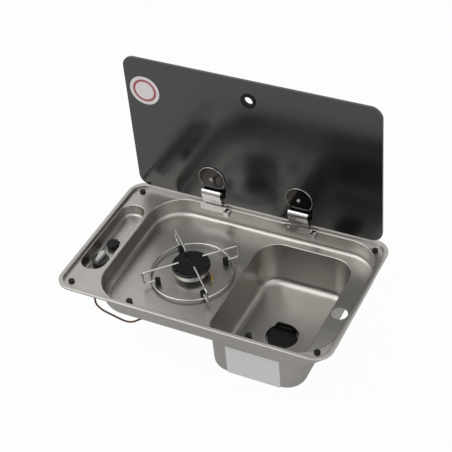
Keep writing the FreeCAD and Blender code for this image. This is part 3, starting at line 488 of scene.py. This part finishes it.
def rolled_strip(name, node):
    """Spring cover: a strip of STRIP_T along X. Its line rises upright from the lower edge, comes forward
    by STRIP_TUCK along half a cosine wave, rolls over a half ellipse STRIP_ROLL high and ends in a foot
    on the neck."""
    low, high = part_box(node)
    half = STRIP_T / 2
    front = low.y + half
    behind = low.y + STRIP_DEEP - half
    radius = (behind - front) / 2
    crown = high.z - half - STRIP_ROLL
    foot = crown - STRIP_STEP
    rise = np.linspace(0, 1, RISE_STEPS)
    lean = np.clip((rise - STRIP_PLAIN) / (1 - STRIP_PLAIN), 0, 1)
    wave = np.stack([front + STRIP_TUCK * (0.5 + 0.5 * np.cos(math.pi * lean)),
                     low.z + (crown - low.z) * rise], -1)
    turn = np.linspace(math.pi, 0, ROLL_STEPS + 1)[1:]
    roll = np.stack([front + radius + radius * np.cos(turn), crown + STRIP_ROLL * np.sin(turn)], -1)
    bend = np.linspace(0, math.pi / 2, HEEL_STEPS)
    heel = np.stack([behind + STRIP_BACK * (1 - np.cos(bend)), foot - STRIP_BACK * np.sin(bend)], -1)
    toe = np.array([[high.y, foot - STRIP_BACK]])
    line = np.concatenate([wave, roll, heel, toe])
    along = headings(line)
    out = np.stack([-along[:, 1], along[:, 0]], -1) * half
    whole = np.concatenate([line + out, (line - out)[::-1]])
    core = np.concatenate([line, line[::-1]])
    across = np.array([high.x, high.x, high.x - STRIP_END, low.x + STRIP_END, low.x, low.x])
    loops = np.stack([core, whole, whole, whole, whole, core])
    points = np.concatenate([np.broadcast_to(across[:, None, None], loops.shape[:2] + (1,)), loops], -1)
    piece = wrapped_piece(name, points, chrome)
    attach(piece, "lid")
    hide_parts(node)


rolled_strip("cover_strip_l", "hinge_cover_l")
rolled_strip("cover_strip_r", "hinge_cover_r")
SCREW_R = 0.004
SCREW_DOME_R = 0.0036
SCREW_DOME_H = 0.0012
d_low, d_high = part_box("disc_screws")
for side, x in (("l", d_low.x + SCREW_R), ("r", d_high.x - SCREW_R)):
    dome("disc_dome_" + side, (x, d_low.y, (d_low.z + d_high.z) / 2), (0, -1, 0), (1, 0, 0),
         SCREW_DOME_R, SCREW_DOME_H, chrome, "lid")

# The bowl's label: a sheet of white film with pale grey ruled lines.
# It is stuck flat on the outside of the bowl's front wall.
PAPER_WHITE = (0.80, 0.80, 0.795)
PAPER_LINE = (0.66, 0.66, 0.66)
PAPER_ROUGH = (0.4, 0.55)
PAPER_CLOUDS = 90.0
LINES_PER_METRE = 130.0
LINE_SHARE = 0.82
paper_film, tree, shader, where = blank_material("paper_film")
height = shade(tree, "SeparateXYZ", where).outputs["Z"]
rows = shade(tree, "Math", height, LINES_PER_METRE, operation="MULTIPLY")
step = shade(tree, "Math", rows.outputs[0], operation="FRACT")
line = shade(tree, "Math", step.outputs[0], LINE_SHARE, operation="GREATER_THAN")
two_tone(tree, shader, line.outputs[0], PAPER_WHITE, PAPER_LINE)
cloudy_gloss(tree, shader, clouds(tree, where, Scale=PAPER_CLOUDS), PAPER_ROUGH)
dress(paper_film, "rating_label")

# The studio: a plain pale floor under the waste tail, white surroundings and two large soft lamps.
# The camera sees floor and surroundings as white, metal and glass mirror a share of that white, and
# the floor keeps the shadow.
WHITE = (1, 1, 1, 1)
FLOOR_HALF = 6.0
FLOOR_GAP = 0.002
FLOOR_GREY = (0.62, 0.62, 0.62, 1)
FLOOR_SEEN = 0.97
FLOOR_MIRRORED = 0.3
corners = np.array([[-1, -1, 0], [1, -1, 0], [1, 1, 0], [-1, 1, 0]], float) * FLOOR_HALF
corners[:, 2] = cad_box[0][2] - FLOOR_GAP
floor_mesh = bpy.data.meshes.new("floor")
floor_mesh.from_pydata(corners.tolist(), [], [(0, 1, 2, 3)])
floor = bpy.data.objects.new("floor", floor_mesh)
bpy.context.scene.collection.objects.link(floor)
floor_paint = bpy.data.materials.new("floor_paint")
floor_paint.use_nodes = True
tree = floor_paint.node_tree
tree.nodes.clear()
matt = shade(tree, "BsdfDiffuse", Color=FLOOR_GREY)
white = shade(tree, "Emission", Color=WHITE)
ray = shade(tree, "LightPath").outputs
seen = shade(tree, "Math", ray["Is Camera Ray"], ray["Is Transmission Ray"], operation="MAXIMUM")
share = shade(tree, "Math", seen.outputs[0], FLOOR_SEEN, operation="MULTIPLY")
mirrored = shade(tree, "Math", ray["Is Glossy Ray"], FLOOR_MIRRORED, share.outputs[0],
                 operation="MULTIPLY_ADD")
blend = shade(tree, "MixShader", mirrored.outputs[0], matt.outputs[0], white.outputs[0])
shade(tree, "OutputMaterial", Surface=blend.outputs[0])
floor_mesh.materials.append(floor_paint)

AMBIENT = 0.48
MIRRORED = 1.0
FRONT_MIRRORED = 0.86
FRONT_FROM = -0.7
FRONT_TO = 0.3
world = bpy.data.worlds.new("studio")
bpy.context.scene.world = world
world.use_nodes = True
tree = world.node_tree
tree.nodes.clear()
ray = shade(tree, "LightPath").outputs
way = shade(tree, "TexCoord").outputs["Generated"]
depth = shade(tree, "SeparateXYZ", way).outputs["Y"]
front = shade(tree, "MapRange", Value=depth, From_Min=FRONT_FROM, From_Max=FRONT_TO,
              To_Min=FRONT_MIRRORED, To_Max=MIRRORED)
glow = shade(tree, "MapRange", Value=ray["Is Glossy Ray"], To_Min=AMBIENT, To_Max=front.outputs[0])
room = shade(tree, "Background", Color=WHITE, Strength=glow.outputs[0])
paper = shade(tree, "Background", Color=WHITE, Strength=1.0)
seen = shade(tree, "Math", ray["Is Camera Ray"], ray["Is Transmission Ray"], operation="MAXIMUM")
blend = shade(tree, "MixShader", seen.outputs[0], room.outputs[0], paper.outputs[0])
shade(tree, "OutputWorld", Surface=blend.outputs[0])


def softbox(name, place, aim, size, power):
    """Square area lamp at a place, facing its aim."""
    lamp = bpy.data.lights.new(name, "AREA")
    lamp.size = size
    lamp.energy = power
    holder = bpy.data.objects.new(name, lamp)
    holder.location = place
    holder.rotation_euler = (Vector(aim) - Vector(place)).to_track_quat("-Z", "Y").to_euler()
    bpy.context.scene.collection.objects.link(holder)


softbox("key", place=(-1.2, -0.9, 2.0), aim=(0, 0, 0), size=2.2, power=24)
softbox("fill", place=(1.8, -1.6, 1.2), aim=(0, 0, 0), size=2.0, power=10)

# The camera stands at the front right, above the rim, slightly turned about its own axis.
# Its focal length is given in pixels of the square frame, and the target is a point on its axis.
FOCAL_PIXELS = 1293.17
FRAME_PIXELS = 452.0
SENSOR = 36.0
AZIMUTH = math.radians(29.46)
ELEVATION = math.radians(40.62)
ROLL = math.radians(-5.73)
TARGET = Vector((-0.20997, 0.39933, -0.28323))
DISTANCE = 3.15432
back = Vector((math.sin(AZIMUTH) * math.cos(ELEVATION), -math.cos(AZIMUTH) * math.cos(ELEVATION),
               math.sin(ELEVATION)))
level = Vector((math.cos(AZIMUTH), math.sin(AZIMUTH), 0))
upright = back.cross(level)
right = level * math.cos(ROLL) + upright * math.sin(ROLL)
up = -level * math.sin(ROLL) + upright * math.cos(ROLL)
lens = bpy.data.cameras.new("camera")
lens.sensor_width = SENSOR
lens.lens = SENSOR * FOCAL_PIXELS / FRAME_PIXELS
camera = bpy.data.objects.new("camera", lens)
bpy.context.scene.collection.objects.link(camera)
eye = TARGET + back * DISTANCE
camera.matrix_world = Matrix(((right.x, up.x, back.x, eye.x), (right.y, up.y, back.y, eye.y),
                              (right.z, up.z, back.z, eye.z), (0, 0, 0, 1)))
bpy.context.scene.camera = camera
bpy.context.scene.view_settings.view_transform = "Standard"
